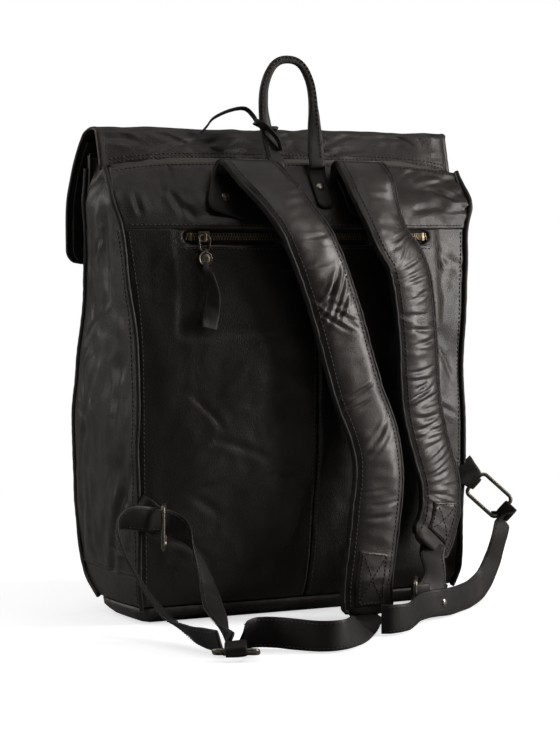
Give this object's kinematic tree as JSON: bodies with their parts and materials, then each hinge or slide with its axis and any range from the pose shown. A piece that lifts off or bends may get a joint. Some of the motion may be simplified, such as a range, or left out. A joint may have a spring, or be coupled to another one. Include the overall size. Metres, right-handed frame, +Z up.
{
  "type": "leather backpack",
  "caption": "Backpack with a fold-over top flap, a zipped back pocket, two padded shoulder straps with buckled belts, and a carrying handle",
  "frame": {"origin": "centre of the bag's flat base, on the surface it stands on", "axes": "+X is the wearer's right, +Y points at the wearer (the harness side), +Z is up"},
  "size_m": [0.4198, 0.3511, 0.5093],
  "materials": {
    "hide": "washed, semi-gloss, pebbled",
    "edge": "smooth matte",
    "lining": "plain cotton",
    "board": "stiff board",
    "foam": "soft foam",
    "nickel": "antique nickel",
    "brass": "antique brass",
    "tape": "woven tape"
  },
  "bodies": {
    "bag": {"back_panel_right": "hide", "back_panel_left": "hide", "back_yoke": "hide", "side_gusset_right": "hide", "side_gusset_left": "hide", "side_boot_right": "hide", "side_boot_left": "hide", "base_panel": "hide", "front_panel": "hide", "ridge_strip": "hide", "back_piping": "edge", "front_piping": "edge", "lining_bag": "lining", "base_board": "board", "back_pocket_bag": "lining", "zip_tape": "tape", "zip_teeth": "brass", "zip_stops": "brass", "back_patch": "edge", "handle_tabs": "edge", "handle_rivets": "nickel", "strap_anchor_right": "edge", "strap_anchor_left": "edge", "anchor_rivets": "nickel", "side_tab_right": "hide", "side_tab_left": "hide", "belt_right": "edge", "belt_left": "edge", "belt_tail_right": "edge", "belt_tail_left": "edge", "buckle_frame_right": "nickel", "buckle_frame_left": "nickel", "belt_end_left": "edge", "belt_rivet_left": "nickel", "snap_sockets": "nickel", "tie_strap": "edge"},
    "flap": {"flap": "hide", "flap_lining": "edge", "flap_snaps": "nickel"},
    "handle": {"handle_loop": "edge"},
    "zip_slider": {"zip_slider": "nickel"},
    "zip_pull": {"pull_link": "nickel", "pull_medallion": "nickel", "pull_tail": "hide"},
    "strap_right": {"strap_face_right": "hide", "strap_foam_right": "foam", "strap_back_right": "edge", "strap_patch_right": "hide"},
    "strap_left": {"strap_face_left": "hide", "strap_foam_left": "foam", "strap_back_left": "edge", "strap_patch_left": "hide"},
    "ring_right": {"ring_right": "nickel"},
    "ring_left": {"ring_left": "nickel"},
    "prong_right": {"buckle_prong_right": "nickel"},
    "prong_left": {"buckle_prong_left": "nickel"}
  },
  "joints": [
    {"name": "flap_open", "type": "hinge", "parent": "bag", "child": "flap", "pos_m": [0, 0, 0.434], "axis": [-1, 0, 0], "range_deg": [0, 120]},
    {"name": "handle_tilt", "type": "hinge", "parent": "bag", "child": "handle", "pos_m": [0, 0.042, 0.409], "axis": [-1, 0, 0], "range_deg": [0, 60]},
    {"name": "zip_slide", "type": "hinge", "parent": "bag", "child": "zip_slider", "pos_m": [0, -0.8025, 0.343], "axis": [0, 0, 1], "range_deg": [0, 14.3]},
    {"name": "zip_pull_swing", "type": "hinge", "parent": "zip_slider", "child": "zip_pull", "pos_m": [0.10447, 0.06443, 0.343], "axis": [0.9928, -0.1196, 0], "range_deg": [0, 150]},
    {"name": "strap_right_swing", "type": "hinge", "parent": "bag", "child": "strap_right", "pos_m": [0, 0.047, 0.404], "axis": [1, 0, 0], "range_deg": [0, 4]},
    {"name": "strap_left_swing", "type": "hinge", "parent": "bag", "child": "strap_left", "pos_m": [0, 0.047, 0.404], "axis": [1, 0, 0], "range_deg": [0, 12]},
    {"name": "ring_right_swing", "type": "hinge", "parent": "bag", "child": "ring_right", "pos_m": [0.14913, 0.07496, 0.091], "axis": [0, 0, 1], "range_deg": [0, 15]},
    {"name": "ring_left_swing", "type": "hinge", "parent": "bag", "child": "ring_left", "pos_m": [-0.17953, 0.06237, 0.11171], "axis": [-0.5908, 0.3141, 0.7431], "range_deg": [-15, 15]},
    {"name": "prong_right_lift", "type": "hinge", "parent": "bag", "child": "prong_right", "pos_m": [0.1571, 0.22891, 0.00264], "axis": [0.8829, -0.4695, 0], "range_deg": [0, 120]},
    {"name": "prong_left_lift", "type": "hinge", "parent": "bag", "child": "prong_left", "pos_m": [-0.07189, 0.13398, 0.02], "axis": [0, 0, -1], "range_deg": [0, 75]}
  ]
}
